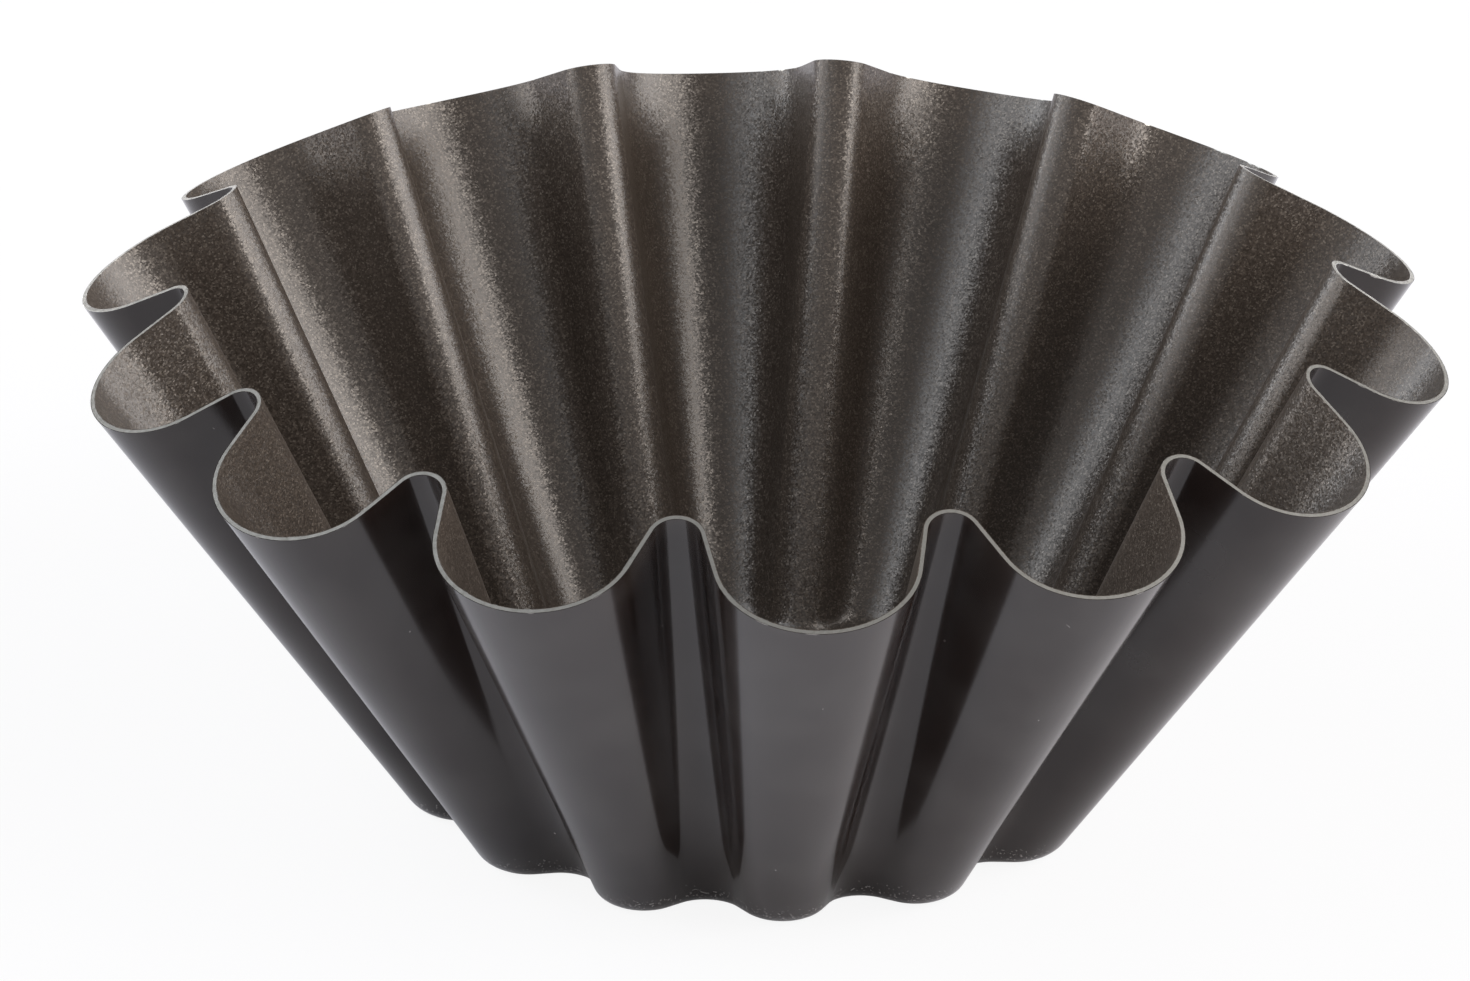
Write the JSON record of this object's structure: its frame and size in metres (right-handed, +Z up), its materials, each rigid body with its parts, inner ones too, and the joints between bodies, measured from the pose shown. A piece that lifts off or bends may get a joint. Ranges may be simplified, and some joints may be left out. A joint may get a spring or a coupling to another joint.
{
  "type": "fluted brioche mould",
  "caption": "Round fluted brioche mould pressed from coated steel sheet, flaring from a flat scalloped base to a wide wavy rim, for baking dough.",
  "frame": {"origin": "middle of the base's underside, on the surface that the mould stands on", "axes": "+Z up along the mould's axis, out of its mouth; a lobe lies on -Y, towards the front"},
  "size_m": [0.2154, 0.22, 0.0873],
  "materials": {
    "outer_lacquer": "smooth satin-gloss baked lacquer, dark brown-grey",
    "bare_steel": "bare sheared edge of the sheet",
    "inner_nonstick": "brown non-stick coat with fine metallic flake, satin"
  },
  "bodies": {
    "root": {"outer_lacquer_coat": "outer_lacquer", "pressed_steel_shell": "bare_steel", "inner_nonstick_coat": "inner_nonstick"}
  },
  "joints": []
}
